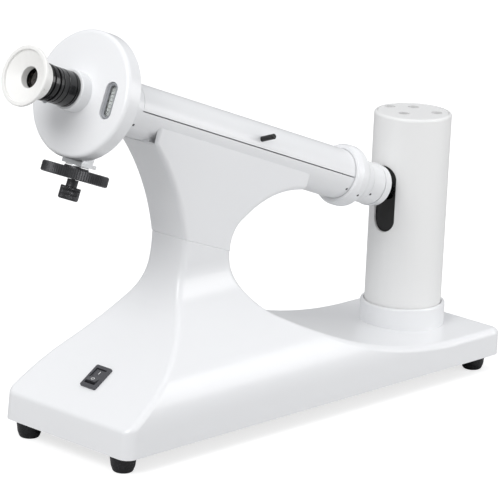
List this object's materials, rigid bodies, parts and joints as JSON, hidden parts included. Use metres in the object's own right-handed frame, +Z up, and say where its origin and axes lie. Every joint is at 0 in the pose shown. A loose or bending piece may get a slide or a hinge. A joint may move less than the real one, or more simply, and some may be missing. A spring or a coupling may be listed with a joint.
{
  "type": "disc polarimeter",
  "caption": "Bench polarimeter: a tilted tube with a hinged lid on a flared cast stand, a dial drum with reading windows and handwheels, an eyepiece, and a lamp column behind.",
  "frame": {"origin": "middle of the overall box, on the surface that the feet stand on", "axes": "+X from the eyepiece end towards the lamp column, +Z up, +Y away from the side the lid opens on"},
  "size_m": [0.4996, 0.138, 0.3289],
  "materials": {
    "white_enamel": "gloss white stove enamel on castings",
    "grey_enamel": "light grey-white enamel",
    "cream_plastic": "smooth cream moulding",
    "black_lacquer": "gloss black lacquer",
    "black_anodised": "satin black anodising",
    "matte_black": "matt black paint",
    "silver": "satin machined",
    "steel": "turned steel",
    "screw_steel": "blackened screw",
    "brass": "machined brass",
    "rubber": "moulded black rubber",
    "black_plastic": "moulded black plastic",
    "ceramic": "glazed ceramic",
    "winding": "taped winding",
    "lamination": "varnished laminations",
    "lens_glass": "coated lens",
    "clear_glass": "clear glass",
    "amber_glass": "yellow filter glass",
    "polarizing_film": "grey polarizing film in glass",
    "scale_white": "white scale enamel",
    "frame_grey": "grey lacquer"
  },
  "bodies": {
    "stand": {"base_casting": "white_enamel", "base_plate": "matte_black", "feet": "rubber", "foot_screws": "steel", "base_plate_screws": "steel", "tube_bracket": "white_enamel", "neck_bolts": "screw_steel", "cord_bush": "black_plastic", "choke_core": "lamination", "choke_coil": "winding", "choke_clamp": "steel", "terminal_block": "ceramic", "switch_housing": "black_plastic", "switch_tabs": "brass", "lamp_column": "grey_enamel", "lamp_cap": "grey_enamel", "lamp_shield": "matte_black", "socket_plate": "steel", "lamp_socket": "ceramic", "lamp_base": "black_plastic", "lamp_bulb": "clear_glass", "arc_tube": "clear_glass", "tube_body": "white_enamel", "hinge_pins": "steel", "rear_collar": "white_enamel", "condenser_barrel": "white_enamel", "lens_cell": "white_enamel", "condenser_lens": "lens_glass", "colour_filter": "amber_glass", "polarizer": "polarizing_film", "half_shade_plate": "clear_glass", "set_screws": "screw_steel", "gear_housing": "white_enamel", "drum_cover": "white_enamel", "drum_screws": "screw_steel", "window_frames": "frame_grey", "window_glasses": "clear_glass", "vernier_plates": "scale_white", "dial_bearings": "brass", "knob_bracket": "silver", "shaft_bush": "silver", "eyepiece_sleeve": "silver", "objective_lens": "lens_glass"},
    "lid": {"lid": "white_enamel", "lid_pin": "black_lacquer"},
    "dial": {"dial_disc": "scale_white", "analyser_tube": "brass", "analyser": "polarizing_film", "crown_gear": "brass"},
    "coarse_wheel": {"coarse_wheel": "black_anodised", "drive_shaft": "steel", "pinion": "steel"},
    "fine_knob": {"fine_knob": "black_anodised"},
    "focus_ring": {"focus_ring": "black_lacquer"},
    "eyepiece": {"eyepiece_barrel": "black_lacquer", "eyecup": "cream_plastic", "eyecup_screw": "screw_steel", "eye_lens": "lens_glass"},
    "switch_rocker": {"switch_rocker": "black_plastic"}
  },
  "joints": [
    {"name": "lid_hinge", "type": "hinge", "parent": "stand", "child": "lid", "pos_m": [0.0297, 0.0235, 0.20626], "axis": [-0.9397, 0, 0.342], "range_deg": [0, 110]},
    {"name": "dial_turn", "type": "hinge", "parent": "stand", "child": "dial", "pos_m": [-0.17253, 0, 0.27923], "axis": [-0.9397, 0, 0.342], "continuous": true},
    {"name": "coarse_wheel_turn", "type": "hinge", "parent": "stand", "child": "coarse_wheel", "pos_m": [-0.1872, 0, 0.22285], "axis": [-0.342, 0, -0.9397], "continuous": true},
    {"name": "fine_knob_turn", "type": "hinge", "parent": "coarse_wheel", "child": "fine_knob", "pos_m": [-0.19268, 0, 0.20782], "axis": [-0.342, 0, -0.9397], "continuous": true},
    {"name": "focus_ring_turn", "type": "hinge", "parent": "stand", "child": "focus_ring", "pos_m": [-0.2073, 0, 0.29189], "axis": [-0.9397, 0, 0.342], "range_deg": [-144, 144]},
    {"name": "eyepiece_slide", "type": "slide", "parent": "stand", "child": "eyepiece", "axis": [-0.9397, 0, 0.342], "range_m": [-0.00238, 0.00238]},
    {"name": "switch_rock", "type": "hinge", "parent": "stand", "child": "switch_rocker", "pos_m": [-0.15637, 0, 0.05388], "axis": [0, 1, 0], "range_deg": [-20, 0]}
  ],
  "couplings": [
    {"joint": "coarse_wheel_turn", "follows": "dial_turn", "ratio": -4},
    {"joint": "focus_ring_turn", "follows": "eyepiece_slide", "rad_per_m": 1052.6}
  ]
}
